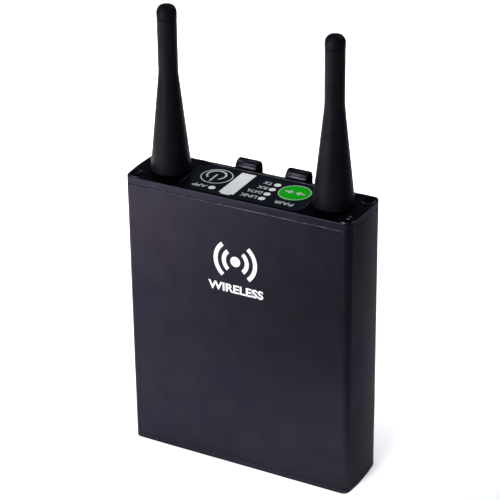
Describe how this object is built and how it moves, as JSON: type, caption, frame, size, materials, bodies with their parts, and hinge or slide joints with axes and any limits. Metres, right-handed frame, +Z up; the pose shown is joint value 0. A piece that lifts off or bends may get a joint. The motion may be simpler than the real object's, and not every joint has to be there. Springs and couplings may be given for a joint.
{
  "type": "wireless control-data transceiver",
  "caption": "Flat black aluminium belt-worn wireless transceiver with control panel, green key and screw-on antennas on its top cap and spring clips on its back.",
  "frame": {"origin": "centre of the case's flat bottom face, on the surface that it stands on", "axes": "+Z up along the antennas, +X to the right seen from the front, +Y towards the back with the clips"},
  "size_m": [0.104, 0.0368, 0.1975],
  "materials": {
    "anodised_case": "satin black anodised, fine grain",
    "black_steel": "black oxide spring steel, satin",
    "antenna_rubber": "satin moulded rubber",
    "black_plastic": "moulded, satin",
    "panel_film": "glossy printed film",
    "green_key": "glossy printed film",
    "white_window": "translucent white",
    "gasket_rubber": "matt",
    "gilt_brass": "gold plated",
    "circuit_board": "solder mask",
    "bright_steel": "tin plated",
    "battery_wrap": "shrink wrap"
  },
  "bodies": {
    "housing": {"housing_sleeve": "anodised_case", "top_end_cap": "anodised_case", "bottom_end_cap": "anodised_case", "top_gasket": "gasket_rubber", "bottom_gasket": "gasket_rubber", "top_screw_front_left": "black_steel", "top_screw_front_right": "black_steel", "top_screw_rear_right": "black_steel", "top_screw_rear_left": "black_steel", "bottom_screw_front_left": "black_steel", "bottom_screw_front_right": "black_steel", "bottom_screw_rear_right": "black_steel", "bottom_screw_rear_left": "black_steel", "control_overlay": "panel_film", "power_switch": "black_plastic", "pair_switch": "black_plastic", "battery_window": "white_window", "tx_light_window": "white_window", "rx_light_window": "white_window", "data_light_window": "white_window", "link_light_window": "white_window", "app_light_window": "white_window", "control_board": "circuit_board", "main_board": "circuit_board", "data_radio_module": "bright_steel", "app_radio_module": "bright_steel", "battery_pack": "battery_wrap", "antenna_jack_left": "gilt_brass", "antenna_jack_right": "gilt_brass", "antenna_jack_nut_left": "gilt_brass", "antenna_jack_nut_right": "gilt_brass", "antenna_pigtail_left": "black_plastic", "antenna_pigtail_right": "black_plastic", "data_connector_shell": "black_steel", "data_connector_insert": "black_plastic", "charge_port": "bright_steel", "clip_plate": "black_steel", "clip_plate_screw_upper": "black_steel", "clip_plate_screw_lower": "black_steel", "clip_leaf_left": "black_steel", "clip_leaf_right": "black_steel", "clip_rivet_left_upper": "black_steel", "clip_rivet_left_lower": "black_steel", "clip_rivet_right_upper": "black_steel", "clip_rivet_right_lower": "black_steel"},
    "power_button": {"power_button": "panel_film", "power_switch_plunger": "black_plastic"},
    "pair_button": {"pair_button": "green_key", "pair_switch_plunger": "black_plastic"},
    "antenna_core_left": {"antenna_radiator_left": "gilt_brass"},
    "antenna_left": {"antenna_sleeve_left": "antenna_rubber", "antenna_tip_left": "antenna_rubber", "antenna_insert_left": "gilt_brass"},
    "clip_left": {"clip_tongue_left": "black_steel"},
    "antenna_core_right": {"antenna_radiator_right": "gilt_brass"},
    "antenna_right": {"antenna_sleeve_right": "antenna_rubber", "antenna_tip_right": "antenna_rubber", "antenna_insert_right": "gilt_brass"},
    "clip_right": {"clip_tongue_right": "black_steel"}
  },
  "joints": [
    {"name": "power_button_press", "type": "slide", "parent": "housing", "child": "power_button", "axis": [0, 0, -1], "range_m": [0, 0.00035], "stiffness_N_per_m": 300, "springref_m": -0.001},
    {"name": "pair_button_press", "type": "slide", "parent": "housing", "child": "pair_button", "axis": [0, 0, -1], "range_m": [0, 0.00035], "stiffness_N_per_m": 300, "springref_m": -0.001},
    {"name": "antenna_left_thread", "type": "slide", "parent": "housing", "child": "antenna_core_left", "axis": [0, 0, 1], "range_m": [0, 0.00353]},
    {"name": "antenna_left_turn", "type": "hinge", "parent": "antenna_core_left", "child": "antenna_left", "pos_m": [-0.0373, 0, 0.1255], "axis": [0, 0, 1], "range_deg": [0, 1800]},
    {"name": "clip_left_open", "type": "hinge", "parent": "housing", "child": "clip_left", "pos_m": [-0.0111, 0.019, 0.124], "axis": [1, 0, 0], "range_deg": [0, 10], "stiffness_Nm_per_rad": 0.6, "springref_deg": -5.73},
    {"name": "antenna_right_thread", "type": "slide", "parent": "housing", "child": "antenna_core_right", "axis": [0, 0, 1], "range_m": [0, 0.00353]},
    {"name": "antenna_right_turn", "type": "hinge", "parent": "antenna_core_right", "child": "antenna_right", "pos_m": [0.0373, 0, 0.1255], "axis": [0, 0, 1], "range_deg": [0, 1800]},
    {"name": "clip_right_open", "type": "hinge", "parent": "housing", "child": "clip_right", "pos_m": [0.0121, 0.019, 0.124], "axis": [1, 0, 0], "range_deg": [0, 10], "stiffness_Nm_per_rad": 0.6, "springref_deg": -5.73}
  ],
  "couplings": [
    {"joint": "antenna_left_turn", "follows": "antenna_left_thread", "rad_per_m": 8904.7},
    {"joint": "antenna_right_turn", "follows": "antenna_right_thread", "rad_per_m": 8904.7}
  ]
}
